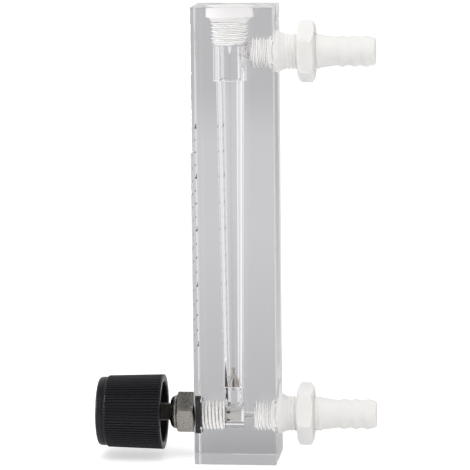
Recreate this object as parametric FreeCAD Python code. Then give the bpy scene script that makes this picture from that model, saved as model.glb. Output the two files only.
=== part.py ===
"""Panel rotameter with a needle valve, built as separate pieces, in millimetres.

A clear block carries a tapered bore in which a float rises with the flow. The inlet and outlet hose
fittings screw into the back (+Y), the valve and its knob into the front (-Y), a plug closes the top.
The origin is the middle of the block's base, with +Z up.
"""
import math
import os

import FreeCAD
import Part
from FreeCAD import Vector

# ---------------------------------------------------------------- clear block
block_width = 20.0  # along X, across the scale
block_depth = 22.5  # along Y, from the valve side to the fitting side
block_height = 125.0
edge_bevel = 0.35

port_inset = 12.5  # from each end of the block to the axis of the ports nearest to it
bore_inset = 10.25  # from the block's front to the axis of the upright bore

bore_bottom_d = 5.5
bore_top_d = 7.8
bore_seat_z = 20.5  # step on which the float rests
bore_top_z = 105.0  # floor of the outlet chamber
riser_d = 5.0  # upright hole from the valve cavity to the float's seat
chamber_d = 9.2

thread_gap = 0.05  # radial gap between a screwed-in piece and its hole
seal_gap = 0.05  # gap round a seal in its groove
edge_break = 0.3  # bevel on most turned and moulded edges
fine_break = 0.15  # bevel on the small ones
thread_lead = 0.5  # bevel where a thread starts
overrun = 1.0  # a hole's cutter starts and ends this far outside the piece

# ---------------------------------------------------------------- float and scale
float_d = 5.3
float_lip = 0.8  # height of the straight band at the float's widest part
float_length = 5.1
float_button_d = 1.7
float_button_h = 0.8
float_neck_d = 1.1
float_neck_l = 0.35
float_flank_share = 0.64  # width of the rounded flank, as a share of the widest, ...
float_flank_place = 0.58  # ... at this share of its height
float_small_break = 0.2
float_tail_d = 2.0
float_tail_l = 1.0

scale_first = 2.0  # lowest reading that is marked
scale_full = 10.0  # reading at the top mark
scale_step = 0.5
scale_top_z = 91.6
mark_height = 0.3
mark_thickness = 0.08
major_mark_l = 3.2
minor_mark_l = 1.9
mark_inner_x = 4.4  # from the bore's plane to the near end of each mark

# ---------------------------------------------------------------- top plug
plug_head_d = 12.5
plug_head_h = 2.8
plug_head_gap = 0.2  # radial gap round the head
plug_cone_d = 11.4  # sealing cone under the head
plug_cone_l = 1.2
plug_thread_d = 10.0
plug_thread_l = 6.1
plug_thread_run_out = 0.5  # the tapped hole goes this much deeper than the plug
plug_slot_w = 1.6
plug_slot_depth = 1.4
plug_pip_d = 2.1
plug_pip_l = 2.8
plug_tip_r = 0.2
plug_recess = 0.1  # the plug's face lies this far under the block's top

# ---------------------------------------------------------------- hose fittings and their nuts
fit_bore_d = 4.4
fit_thread_d = 8.0
fit_thread_l = 6.5
fit_cone_d = 11.2
fit_cone_l = 1.6
fit_collar_l = 1.05
fit_neck_d = 9.7
fit_neck_l = 9.4
fit_chamfer_l = 1.3
fit_shank_d = 8.9
fit_shank_l = 4.9
barb_count = 3
barb_pitch = 3.25
barb_root_d = 7.6
barb_crest_d = 8.4
barb_land = 0.3
barb_rise = 1.1
barb_nose_l = 0.5
barb_nose_round = 0.45
fit_pocket_gap = 0.1  # between a fitting's end and the floor of its hole

nut_flats = 15.0
nut_h = 4.4
nut_lead = 0.6  # bevel at each mouth of its thread
hex_bevel_deg = 30.0  # slope of the cones that cut a hexagon's corners back
hex_face_share = 0.97  # diameter where those cones start, as a share of the flats
outlet_nut_gap = 6.15  # from the block's back to each nut
inlet_nut_gap = 5.25
outlet_nut_turn = 38.5  # where each nut stopped when it was tightened
inlet_nut_turn = 13.3

# ---------------------------------------------------------------- needle valve
valve_thread_d = 8.0
valve_thread_l = 6.4
valve_pilot_d = 7.8
valve_hex_flats = 11.0
valve_hex_l = 4.85
valve_hex_turn = 14.0
valve_stand_off = 0.75  # hex face in front of the block
valve_collar_d = 9.3
valve_collar_l = 1.95
valve_collar_chamfer = 1.2
valve_collar_root = 0.5  # the collar runs this far into the hexagon
valve_relief_l = 0.1  # slope from the plain pilot to the thread
valve_lead = 0.4
valve_ring_d = 10.3
valve_ring_depth = 1.6
valve_ring_round = 0.3  # share of the squeezed section that is rounded off at each corner
valve_gland_d = 5.3
valve_neck_l = 4.2  # threaded hole between the collar's face and the gland
nose_d = 5.4
nose_spigot_l = 1.2
nose_chamber_d = 3.8
nose_port_d = 1.1
nose_port_count = 6
nose_port_inset = 0.85  # from the bonnet's end to the ports' axes
nose_port_turn = 30.0
nose_orifice_d = 1.8
nose_orifice_l = 0.85
nose_mouth_bevel = 0.4
nose_break = 0.2
cavity_d = 7.0
cavity_depth = 13.25  # from the block's front
seat_washer_t = 0.8
seat_washer_d = 5.4
seat_washer_hole_d = 2.2
inlet_passage_d = 2.2
outlet_passage_d = 3.2

stem_thread_d = 4.9
stem_clearance = 0.05
stem_thread_out = 6.7  # threaded length in front of the valve's collar
stem_rise = 2.1  # from the body's shoulder at rest to the end of the gland that stops it
stem_body_l = 6.5
stem_shaft_d = 2.6
stem_shaft_l = 4.05
needle_l = 2.9
needle_tip_d = 0.7
needle_point_l = 0.15
stem_groove_depth = 0.8
stem_ring_round = 0.3
stem_ring_places = (1.8, 4.4)  # from the body's shoulder to each seal
stem_spigot_d = 4.0
stem_spigot_l = 8.7
stem_flat = 1.6  # from the axis to the driving flat

# ---------------------------------------------------------------- knob
knob_rear_d = 20.7
knob_front_d = 19.8
knob_l = 16.2
knob_gap = 1.95  # rear rim in front of the valve's collar at rest
knurl_teeth = 78
knurl_depth = 0.38
knurl_flat = 0.28  # share of each tooth's pitch that is flat on top
knob_band_l = 0.6
knob_wall = 1.85
knob_web_front = 2.0  # depth of the front recess
knob_web_t = 2.0
knob_boss_d = 8.4
knob_boss_l = 7.8
knob_recess_d = 15.6
rim_bevel = 0.35
knurl_end_l = 0.4  # sloped front end of each tooth, beyond its depth
knob_fillet = 0.5  # sloped corner between the web and the wall
knob_draft = 0.1  # the cup's wall thickens by this much towards the web

bush_d = 6.4
bush_rib_count = 16
bush_rib_h = 0.25
bush_rib_foot = 0.3  # half-width of a rib at its foot and at its top, as shares of the pitch
bush_rib_top = 0.2
bush_fit_gap = 0.03

cap_d = 19.0
cap_t = 1.9
cap_round = 0.7
cap_dish_d = 15.0
cap_dish_depth = 0.25
cap_spigot_wall = 1.5
cap_spigot_l = 1.6
cap_fit_gap = 0.05

screw_thread_d = 2.5
screw_thread_l = 6.6
screw_run_out = 0.6  # the stem is tapped this much deeper than the screw's length
screw_head_d = 5.6
screw_head_h = 1.3
screw_head_bevel = 0.5
screw_slot_w = 0.7
screw_slot_depth = 0.7
screw_washer_d = 7.0
screw_washer_t = 0.5
screw_washer_gap = 0.15  # radial gap between the washer and the screw

# ---------------------------------------------------------------- places worked out from the sizes
front_y = -block_depth / 2
back_y = block_depth / 2
bore_y = front_y + bore_inset
cavity_end_y = front_y + cavity_depth
inlet_z = port_inset
outlet_z = block_height - port_inset

fit_end_y = back_y - fit_thread_l  # inner end of a fitting's thread
fit_hole_y = fit_end_y - fit_pocket_gap
plug_top_z = block_height - plug_recess
plug_seat_z = plug_top_z - plug_head_h
plug_end_z = plug_seat_z - plug_cone_l - plug_thread_l
plug_pip_z = plug_end_z - plug_pip_l

hex_rear_y = front_y - valve_stand_off
hex_front_y = hex_rear_y - valve_hex_l
collar_y = hex_front_y - valve_collar_l
pocket_y = front_y + valve_ring_depth
thread_end_y = pocket_y + valve_thread_l
nose_end_y = cavity_end_y - seat_washer_t - seal_gap
gland_start_y = collar_y + valve_neck_l
stem_body_d = valve_gland_d - 2 * stem_clearance
stem_ring_section = stem_groove_depth + stem_clearance - 2 * seal_gap

stem_step_y = gland_start_y + stem_rise
body_end_y = stem_step_y + stem_body_l
shaft_end_y = body_end_y + stem_shaft_l
needle_end_y = shaft_end_y + needle_l
shoulder_y = collar_y - stem_thread_out

knob_rear_y = collar_y - knob_gap
knob_front_y = knob_rear_y - knob_l
recess_y = knob_front_y + knob_web_front
web_rear_y = recess_y + knob_web_t
boss_end_y = web_rear_y + knob_boss_l
cap_front_y = knob_front_y - cap_t


# ---------------------------------------------------------------- helpers
def along_y(height_z):
    """Places a solid made along +Z at the origin so that it lies along +Y at a port's height."""
    turn = FreeCAD.Rotation(Vector(1, 0, 0), -90)
    return FreeCAD.Placement(Vector(0, 0, height_z), turn)


def revolve(points):
    """Solid of revolution about Z from (radius, z) points in order round the section."""
    wire = Part.makePolygon([Vector(r, 0, z) for r, z in points + points[:1]])
    return Part.Face(wire).revolve(Vector(0, 0, 0), Vector(0, 0, 1), 360)


def turned(points, height_z):
    """Solid of revolution about a port's axis, from (radius, y) points."""
    solid = revolve(points)
    solid.Placement = along_y(height_z)
    return solid


def rod(diameter, start_y, end_y, height_z):
    """Plain cylinder along Y."""
    return Part.makeCylinder(diameter / 2, end_y - start_y, Vector(0, start_y, height_z), Vector(0, 1, 0))


def post(diameter, low_z, high_z):
    """Plain upright cylinder on the bore's axis."""
    return Part.makeCylinder(diameter / 2, high_z - low_z, Vector(0, bore_y, low_z))


def hexagon(flats, low, high, turn_deg):
    """Hexagonal prism along Z whose corners are cut back by cones, as on a nut."""
    corner = flats / math.sqrt(3)
    ring = []
    for k in range(7):
        angle = math.radians(60 * k + turn_deg)
        ring.append(Vector(corner * math.cos(angle), corner * math.sin(angle), low))
    prism = Part.Face(Part.makePolygon(ring)).extrude(Vector(0, 0, high - low))
    face_r = flats / 2 * hex_face_share
    drop = (corner - face_r) * math.tan(math.radians(hex_bevel_deg))
    outline = [
        (0.0, low),
        (face_r, low),
        (corner, low + drop),
        (corner, high - drop),
        (face_r, high),
        (0.0, high),
    ]
    return prism.common(revolve(outline))


def ring_seal(inner_r, outer_r, low, high, round_share):
    """Rubber ring about Z whose section is flattened where it is squeezed and rounded at its corners."""
    cut = min(outer_r - inner_r, high - low) * round_share
    return revolve(
        [
            (inner_r, low + cut),
            (inner_r + cut, low),
            (outer_r - cut, low),
            (outer_r, low + cut),
            (outer_r, high - cut),
            (outer_r - cut, high),
            (inner_r + cut, high),
            (inner_r, high - cut),
        ]
    )


def save(shape, name):
    """Writes one node's STEP file."""
    if not shape.isValid():
        raise ValueError(name + " isn't a valid solid")
    shape.exportStep("parts/" + name + ".step")
    print("%-16s solids %2d  volume %9.2f mm3" % (name, len(shape.Solids), shape.Volume))


# ---------------------------------------------------------------- block, scale and float
def bore_d_at(z):
    """Diameter of the tapered bore at a height."""
    slope = (bore_top_d - bore_bottom_d) / (bore_top_z - bore_seat_z)
    return bore_bottom_d + (z - bore_seat_z) * slope


def height_of_reading(reading):
    """Height at which the gap round the float has grown to a reading's share of the full scale."""
    full_gap = bore_d_at(scale_top_z) ** 2 - float_d ** 2
    wanted_d = math.sqrt(float_d ** 2 + full_gap * reading / scale_full)
    slope = (bore_top_d - bore_bottom_d) / (bore_top_z - bore_seat_z)
    return bore_seat_z + (wanted_d - bore_bottom_d) / slope


def flow_bores():
    """Everything that is drilled down from the top of the block."""
    hole_d = plug_thread_d + 2 * thread_gap
    cone_d = plug_cone_d + 2 * thread_gap
    cone_z = plug_seat_z - plug_cone_l
    countersink = Part.makeCone(hole_d / 2, cone_d / 2, plug_cone_l, Vector(0, bore_y, cone_z))
    taper = Part.makeCone(
        bore_bottom_d / 2, bore_top_d / 2, bore_top_z - bore_seat_z, Vector(0, bore_y, bore_seat_z)
    )
    cuts = [
        taper,
        post(riser_d, inlet_z, bore_seat_z),
        post(chamber_d, bore_top_z, block_height),
        post(hole_d, plug_end_z - plug_thread_run_out, block_height),
        countersink,
        post(plug_head_d + 2 * plug_head_gap, plug_seat_z, block_height + overrun),
    ]
    return cuts


def valve_pocket():
    """Stepped hole for the valve, drilled from the front."""
    return [
        rod(valve_ring_d + 2 * seal_gap, front_y - overrun, pocket_y, inlet_z),
        rod(valve_thread_d + 2 * thread_gap, front_y - overrun, thread_end_y, inlet_z),
        rod(cavity_d, front_y - overrun, cavity_end_y, inlet_z),
    ]


def fitting_pocket(height_z):
    """Threaded and countersunk hole for a hose fitting, drilled from the back."""
    hole_r = fit_thread_d / 2 + thread_gap
    cone_r = fit_cone_d / 2 + thread_gap
    cone_y = back_y - fit_cone_l
    outline = [
        (0, fit_hole_y),
        (hole_r, fit_hole_y),
        (hole_r, cone_y),
        (cone_r, back_y),
        (cone_r, back_y + overrun),
        (0, back_y + overrun),
    ]
    return turned(outline, height_z)


def meter_block():
    corner = Vector(-block_width / 2, front_y, 0)
    solid = Part.makeBox(block_width, block_depth, block_height, corner)
    solid = solid.makeChamfer(edge_bevel, solid.Edges)
    cuts = flow_bores() + valve_pocket()
    cuts += [fitting_pocket(inlet_z), fitting_pocket(outlet_z)]
    cuts.append(rod(inlet_passage_d, cavity_end_y - overrun, fit_hole_y + overrun, inlet_z))
    cuts.append(rod(outlet_passage_d, bore_y, fit_hole_y + overrun, outlet_z))
    return solid.cut(cuts).removeSplitter()


def flow_scale():
    """Printed marks on the front face, one pair for each reading, spaced by the bore's taper."""
    marks = []
    steps = round((scale_full - scale_first) / scale_step)
    for k in range(steps + 1):
        reading = scale_first + k * scale_step
        whole = abs(reading - round(reading)) < 1e-6
        length = major_mark_l if whole else minor_mark_l
        z = height_of_reading(reading) - mark_height / 2
        for start_x in (mark_inner_x, -mark_inner_x - length):
            corner = Vector(start_x, front_y - mark_thickness, z)
            marks.append(Part.makeBox(length, mark_thickness, mark_height, corner))
    return Part.makeCompound(marks)


def float_body():
    """Bullet-shaped float with a button on a thin neck and a short tail."""
    base = bore_seat_z
    widest = float_d / 2
    neck = float_neck_d / 2
    button_z = base + float_length - float_button_h
    neck_z = button_z - float_neck_l
    flank_l = neck_z - base - float_lip
    top_z = base + float_length
    ogive = Part.Arc(
        Vector(widest, 0, base + float_lip),
        Vector(widest * float_flank_share, 0, base + float_lip + flank_l * float_flank_place),
        Vector(neck, 0, neck_z),
    ).toShape()
    before = [
        Vector(0, 0, top_z),
        Vector(float_button_d / 2 - float_small_break, 0, top_z),
        Vector(float_button_d / 2, 0, top_z - float_small_break),
        Vector(float_button_d / 2, 0, button_z + float_small_break),
        Vector(neck, 0, button_z),
        Vector(neck, 0, neck_z),
    ]
    after = [
        Vector(widest, 0, base + float_lip),
        Vector(widest, 0, base + fine_break),
        Vector(widest - fine_break, 0, base),
        Vector(float_tail_d / 2, 0, base),
        Vector(float_tail_d / 2 - float_small_break, 0, base - float_tail_l),
        Vector(0, 0, base - float_tail_l),
        Vector(0, 0, top_z),
    ]
    wire = Part.Wire(Part.makePolygon(before).Edges + [ogive] + Part.makePolygon(after).Edges)
    solid = Part.Face(wire).revolve(Vector(0, 0, 0), Vector(0, 0, 1), 360)
    solid.translate(Vector(0, bore_y, 0))
    return solid


# ---------------------------------------------------------------- top plug
def top_plug():
    head_r = plug_head_d / 2
    thread_r = plug_thread_d / 2
    outline = [
        (0, plug_top_z),
        (head_r - edge_break, plug_top_z),
        (head_r, plug_top_z - edge_break),
        (head_r, plug_seat_z),
        (plug_cone_d / 2, plug_seat_z),
        (thread_r, plug_seat_z - plug_cone_l),
        (thread_r, plug_end_z + thread_lead),
        (thread_r - thread_lead, plug_end_z),
        (plug_pip_d / 2, plug_end_z),
        (plug_tip_r, plug_pip_z),
        (0, plug_pip_z),
    ]
    solid = revolve(outline)
    slot_corner = Vector(-plug_head_d, -plug_slot_w / 2, plug_top_z - plug_slot_depth)
    solid = solid.cut(Part.makeBox(2 * plug_head_d, plug_slot_w, plug_slot_depth + overrun, slot_corner))
    solid.translate(Vector(0, bore_y, 0))
    return solid


# ---------------------------------------------------------------- hose fittings
def hose_fitting(height_z):
    """Moulded fitting: block thread, sealing cone, collar, panel thread, shank and barbs, bored through."""
    bore_r = fit_bore_d / 2
    thread_r = fit_thread_d / 2
    cone_y = back_y - fit_cone_l
    collar_y_end = back_y + fit_collar_l
    neck_y = collar_y_end + fit_chamfer_l
    neck_end_y = neck_y + fit_neck_l
    barb_y = neck_end_y + fit_shank_l
    outline = [
        (bore_r, fit_end_y),
        (thread_r - thread_lead, fit_end_y),
        (thread_r, fit_end_y + thread_lead),
        (thread_r, cone_y),
        (fit_cone_d / 2, back_y),
        (fit_cone_d / 2, collar_y_end),
        (fit_neck_d / 2, neck_y),
        (fit_neck_d / 2, neck_end_y),
        (fit_shank_d / 2, neck_end_y + edge_break),
        (barb_root_d / 2, barb_y),
    ]
    for k in range(barb_count):
        crest_y = barb_y + k * barb_pitch + barb_rise
        outline.append((barb_crest_d / 2, crest_y))
        outline.append((barb_crest_d / 2, crest_y + barb_land))
        outline.append((barb_root_d / 2, barb_y + (k + 1) * barb_pitch))
    tip_y = barb_y + barb_count * barb_pitch + barb_nose_l
    outline.append((barb_root_d / 2, tip_y - barb_nose_round))
    outline += [(barb_root_d / 2 - barb_nose_round, tip_y), (bore_r, tip_y)]
    return turned(outline, height_z)


def panel_nut(height_z, gap, turn_deg):
    """Hexagonal nut on a fitting's panel thread, bevelled on both faces."""
    start_y = back_y + gap
    body = hexagon(nut_flats, start_y, start_y + nut_h, turn_deg)
    hole_r = fit_neck_d / 2 + thread_gap
    mouth_r = hole_r + nut_lead
    hole = revolve(
        [
            (0, start_y - overrun),
            (mouth_r, start_y - overrun),
            (mouth_r, start_y),
            (hole_r, start_y + nut_lead),
            (hole_r, start_y + nut_h - nut_lead),
            (mouth_r, start_y + nut_h),
            (mouth_r, start_y + nut_h + overrun),
            (0, start_y + nut_h + overrun),
        ]
    )
    solid = body.cut(hole)
    solid.Placement = along_y(height_z)
    return solid


# ---------------------------------------------------------------- needle valve
def valve_bonnet():
    """Screw-in bonnet: collar, hexagon and block thread, bored for the stem and its seals."""
    stem_r = stem_thread_d / 2 + stem_clearance
    gland_r = valve_gland_d / 2
    thread_r = valve_thread_d / 2
    collar_r = valve_collar_d / 2
    shell = [
        (stem_r, collar_y),
        (collar_r - valve_collar_chamfer, collar_y),
        (collar_r, collar_y + valve_collar_chamfer),
        (collar_r, hex_front_y + valve_collar_root),
        (valve_pilot_d / 2, hex_front_y + valve_collar_root),
        (valve_pilot_d / 2, pocket_y),
        (thread_r, pocket_y + valve_relief_l),
        (thread_r, thread_end_y - valve_lead),
        (thread_r - valve_lead, thread_end_y),
        (gland_r, thread_end_y),
        (gland_r, gland_start_y),
        (stem_r, gland_start_y),
    ]
    head = hexagon(valve_hex_flats, hex_front_y, hex_rear_y, -valve_hex_turn)
    head = head.cut(Part.makeCylinder(valve_pilot_d / 2, valve_hex_l, Vector(0, 0, hex_front_y)))
    solid = revolve(shell).fuse(head).removeSplitter()
    solid.Placement = along_y(inlet_z)
    return solid


def valve_nose():
    """Ported nose with the needle's orifice, held between the bonnet and the end of the cavity."""
    spigot_r = valve_gland_d / 2 - seal_gap
    nose_r = nose_d / 2
    chamber_r = nose_chamber_d / 2
    orifice_r = nose_orifice_d / 2
    orifice_y = nose_end_y - nose_orifice_l
    solid = revolve(
        [
            (chamber_r, thread_end_y - nose_spigot_l),
            (spigot_r, thread_end_y - nose_spigot_l),
            (spigot_r, thread_end_y),
            (nose_r, thread_end_y),
            (nose_r, nose_end_y - nose_break),
            (nose_r - nose_break, nose_end_y),
            (orifice_r, nose_end_y),
            (orifice_r, orifice_y + nose_mouth_bevel),
            (orifice_r + nose_mouth_bevel, orifice_y),
            (chamber_r, orifice_y),
        ]
    )
    for k in range(nose_port_count):
        angle = math.radians(nose_port_turn + 360 / nose_port_count * k)
        direction = Vector(math.cos(angle), math.sin(angle), 0)
        start = Vector(0, 0, thread_end_y + nose_port_inset)
        port = Part.makeCylinder(nose_port_d / 2, nose_d, start, direction)
        solid = solid.cut(port)
    solid = solid.removeSplitter()
    solid.Placement = along_y(inlet_z)
    return solid


def valve_seal():
    """Squeezed rubber ring that fills the pocket between the hexagon and the block."""
    inner_r = valve_pilot_d / 2 + seal_gap
    solid = ring_seal(inner_r, valve_ring_d / 2, hex_rear_y + seal_gap, pocket_y - seal_gap, valve_ring_round)
    solid.Placement = along_y(inlet_z)
    return solid


def seat_washer():
    """Soft washer that seals the valve's nose to the end of its cavity."""
    start = nose_end_y + seal_gap / 2
    end = cavity_end_y - seal_gap / 2
    disc = rod(seat_washer_d, start, end, inlet_z)
    return disc.cut(rod(seat_washer_hole_d, start - overrun, end + overrun, inlet_z))


def ring_place(k):
    """Y of the middle of the stem's seal number k."""
    return stem_step_y + stem_ring_places[k]


def valve_stem():
    """Stem in one turned piece: flatted spigot, thread, grooved body, shaft and needle."""
    thread_r = stem_thread_d / 2
    body_r = stem_body_d / 2
    outline = [
        (screw_thread_d / 2, shoulder_y - stem_spigot_l),
        (stem_spigot_d / 2, shoulder_y - stem_spigot_l),
        (stem_spigot_d / 2, shoulder_y),
        (thread_r - edge_break, shoulder_y),
        (thread_r, shoulder_y + edge_break),
        (thread_r, stem_step_y),
        (body_r, stem_step_y),
    ]
    groove = stem_ring_section + 2 * seal_gap
    for k in range(len(stem_ring_places)):
        middle = ring_place(k)
        outline.append((body_r, middle - groove / 2))
        outline.append((body_r - stem_groove_depth, middle - groove / 2))
        outline.append((body_r - stem_groove_depth, middle + groove / 2))
        outline.append((body_r, middle + groove / 2))
    tapped_l = screw_thread_l + screw_run_out
    tapped_end_y = shoulder_y - stem_spigot_l + tapped_l
    outline += [
        (body_r, body_end_y - edge_break),
        (body_r - edge_break, body_end_y),
        (stem_shaft_d / 2, body_end_y),
        (stem_shaft_d / 2, shaft_end_y),
        (needle_tip_d / 2, needle_end_y),
        (0, needle_end_y + needle_point_l),
        (0, tapped_end_y),
        (screw_thread_d / 2, tapped_end_y),
    ]
    solid = revolve(outline)
    flat_corner = Vector(-stem_spigot_d / 2, stem_flat, shoulder_y - stem_spigot_l)
    flat_cut = Part.makeBox(stem_spigot_d, stem_spigot_d, stem_spigot_l, flat_corner)
    solid = solid.cut(flat_cut)
    solid.Placement = along_y(inlet_z)
    return solid


def stem_seal(k):
    inner_r = stem_body_d / 2 - stem_groove_depth + seal_gap
    outer_r = valve_gland_d / 2 - seal_gap
    middle = ring_place(k)
    half = stem_ring_section / 2
    solid = ring_seal(inner_r, outer_r, middle - half, middle + half, stem_ring_round)
    solid.Placement = along_y(inlet_z)
    return solid


# ---------------------------------------------------------------- knob
def knurl_ring(outer_r, z):
    """Closed outline of the knurl at one end: a flat on each tooth and a sharp valley between teeth."""
    points = []
    pitch = 2 * math.pi / knurl_teeth
    for k in range(knurl_teeth):
        for share, drop in ((-knurl_flat / 2, 0.0), (knurl_flat / 2, 0.0), (0.5, knurl_depth)):
            angle = (k + share) * pitch
            r = outer_r - drop
            points.append(Vector(r * math.cos(angle), r * math.sin(angle), z))
    return Part.makePolygon(points + points[:1])


def knob_radius(y):
    """Radius over the teeth, which draws in towards the front for the mould."""
    share = (y - knob_front_y) / knob_l
    return (knob_front_d + (knob_rear_d - knob_front_d) * share) / 2


def knob():
    """Cup-shaped knob with a straight knurl, a front recess, and a boss that holds the bush."""
    band_y = knob_rear_y - knob_band_l
    front_teeth = knurl_ring(knob_radius(knob_front_y), knob_front_y)
    rear_teeth = knurl_ring(knob_radius(band_y), band_y)
    teeth = Part.makeLoft([front_teeth, rear_teeth], True, True)
    front_r = knob_radius(knob_front_y)
    blank = revolve(
        [
            (0, knob_front_y),
            (front_r - knurl_depth, knob_front_y),
            (front_r + knurl_end_l, knob_front_y + knurl_depth + knurl_end_l),
            (knob_radius(knob_rear_y) + overrun, band_y),
            (0, band_y),
        ]
    )
    band_r = knob_radius(knob_rear_y)
    band = revolve(
        [
            (0, band_y),
            (band_r - knurl_depth, band_y),
            (band_r, band_y + fine_break),
            (band_r, knob_rear_y - rim_bevel),
            (band_r - rim_bevel, knob_rear_y),
            (0, knob_rear_y),
        ]
    )
    solid = teeth.common(blank).fuse(band)
    inner_r = knob_rear_d / 2 - knob_wall
    boss_r = knob_boss_d / 2
    hollow = revolve(
        [
            (boss_r, boss_end_y - edge_break),
            (boss_r, web_rear_y),
            (inner_r - knob_draft - knob_fillet, web_rear_y),
            (inner_r - knob_draft, web_rear_y + knob_fillet),
            (inner_r, knob_rear_y - edge_break),
            (inner_r + edge_break, knob_rear_y),
            (inner_r + edge_break, knob_rear_y + overrun),
            (0, knob_rear_y + overrun),
            (0, boss_end_y),
            (boss_r - edge_break, boss_end_y),
        ]
    )
    solid = solid.cut(hollow)
    solid = solid.cut(Part.makeCylinder(knob_recess_d / 2, knob_web_front, Vector(0, 0, knob_front_y)))
    socket = bush_outline(bush_fit_gap).extrude(Vector(0, 0, boss_end_y - recess_y))
    solid = solid.cut(socket).removeSplitter()
    solid.Placement = along_y(inlet_z)
    return solid


def bush_outline(grow):
    """Ribbed section of the bush, which keeps it from turning in the knob."""
    points = []
    pitch = 2 * math.pi / bush_rib_count
    for k in range(bush_rib_count):
        for share, rise in (
            (-bush_rib_foot, 0.0),
            (-bush_rib_top, bush_rib_h),
            (bush_rib_top, bush_rib_h),
            (bush_rib_foot, 0.0),
        ):
            angle = (k + share) * pitch
            r = bush_d / 2 + rise + grow
            points.append(Vector(r * math.cos(angle), r * math.sin(angle), recess_y))
    return Part.Face(Part.makePolygon(points + points[:1]))


def knob_bush():
    """Brass bush in the knob's boss, with a flatted hole for the stem's spigot."""
    length = shoulder_y - recess_y
    solid = bush_outline(0.0).extrude(Vector(0, 0, length))
    hole_r = stem_spigot_d / 2 + bush_fit_gap
    hole = Part.makeCylinder(hole_r, length, Vector(0, 0, recess_y))
    flat_y = stem_flat + bush_fit_gap
    hole = hole.cut(Part.makeBox(2 * hole_r, hole_r, length, Vector(-hole_r, flat_y, recess_y)))
    solid = solid.cut(hole)
    solid.Placement = along_y(inlet_z)
    return solid


def knob_cap():
    """Smooth disc that closes the knob's front, on a ring that presses into the recess."""
    cap_r = cap_d / 2
    dish_r = cap_dish_d / 2
    spigot_r = knob_recess_d / 2 - cap_fit_gap
    disc = revolve(
        [
            (0, cap_front_y + cap_dish_depth),
            (dish_r - edge_break, cap_front_y + cap_dish_depth),
            (dish_r, cap_front_y),
            (cap_r, cap_front_y),
            (cap_r, knob_front_y),
            (0, knob_front_y),
        ]
    )
    small = 0.01  # tolerance for finding the front rim
    rim = []
    for edge in disc.Edges:
        is_circle = edge.Curve.TypeId == "Part::GeomCircle"
        if is_circle and edge.Curve.Radius > cap_r - small and edge.BoundBox.ZMax < cap_front_y + small:
            rim.append(edge)
    disc = disc.makeFillet(cap_round, rim)
    foot = Vector(0, 0, knob_front_y)
    spigot = Part.makeCylinder(spigot_r, cap_spigot_l, foot)
    spigot = spigot.cut(Part.makeCylinder(spigot_r - cap_spigot_wall, cap_spigot_l, foot))
    solid = disc.fuse(spigot).removeSplitter()
    solid.Placement = along_y(inlet_z)
    return solid


def knob_screw():
    """Slotted screw that holds the knob on the stem."""
    head_y = recess_y - screw_washer_t
    top_y = head_y - screw_head_h
    head_r = screw_head_d / 2
    thread_r = screw_thread_d / 2 - thread_gap
    end_y = head_y + screw_thread_l
    solid = revolve(
        [
            (0, top_y),
            (head_r - screw_head_bevel, top_y),
            (head_r, top_y + screw_head_bevel),
            (head_r, head_y),
            (thread_r, head_y),
            (thread_r, end_y - edge_break),
            (thread_r - edge_break, end_y),
            (0, end_y),
        ]
    )
    slot = Part.makeBox(2 * head_r, screw_slot_w, screw_slot_depth, Vector(-head_r, -screw_slot_w / 2, top_y))
    solid = solid.cut(slot)
    solid.Placement = along_y(inlet_z)
    return solid


def screw_washer():
    start = recess_y - screw_washer_t
    disc = rod(screw_washer_d, start, recess_y, inlet_z)
    return disc.cut(rod(screw_thread_d + 2 * screw_washer_gap, start - overrun, recess_y + overrun, inlet_z))


# ---------------------------------------------------------------- build
def main():
    os.makedirs("parts", exist_ok=True)
    save(meter_block(), "meter_block")
    save(flow_scale(), "flow_scale")
    save(float_body(), "float")
    save(top_plug(), "top_plug")
    save(hose_fitting(outlet_z), "outlet_fitting")
    save(hose_fitting(inlet_z), "inlet_fitting")
    save(panel_nut(outlet_z, outlet_nut_gap, outlet_nut_turn), "outlet_nut")
    save(panel_nut(inlet_z, inlet_nut_gap, inlet_nut_turn), "inlet_nut")
    save(valve_bonnet(), "valve_bonnet")
    save(valve_nose(), "valve_nose")
    save(valve_seal(), "valve_seal")
    save(seat_washer(), "seat_washer")
    save(valve_stem(), "valve_stem")
    save(stem_seal(0), "outer_stem_seal")
    save(stem_seal(1), "inner_stem_seal")
    save(knob(), "knob")
    save(knob_bush(), "knob_bush")
    save(knob_cap(), "knob_cap")
    save(knob_screw(), "knob_screw")
    save(screw_washer(), "screw_washer")
    print("knob from y %.2f to %.2f mm, collar's face at %.2f mm" % (cap_front_y, knob_rear_y, collar_y))


main()
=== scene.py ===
# %% [markdown]
# # A panel rotameter
# A rotameter shows how much gas or liquid flows through it. The flow lifts a small float up a tapered bore,
# and the scale beside the bore tells the rate. This one is drilled in a clear acrylic block. Its packed
# CAD model is loaded as a fixed frame, and each visible piece is then modelled or finished around it.

# %% Load the frame
import math

import bpy
from mathutils import Euler, Matrix, Vector


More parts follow.
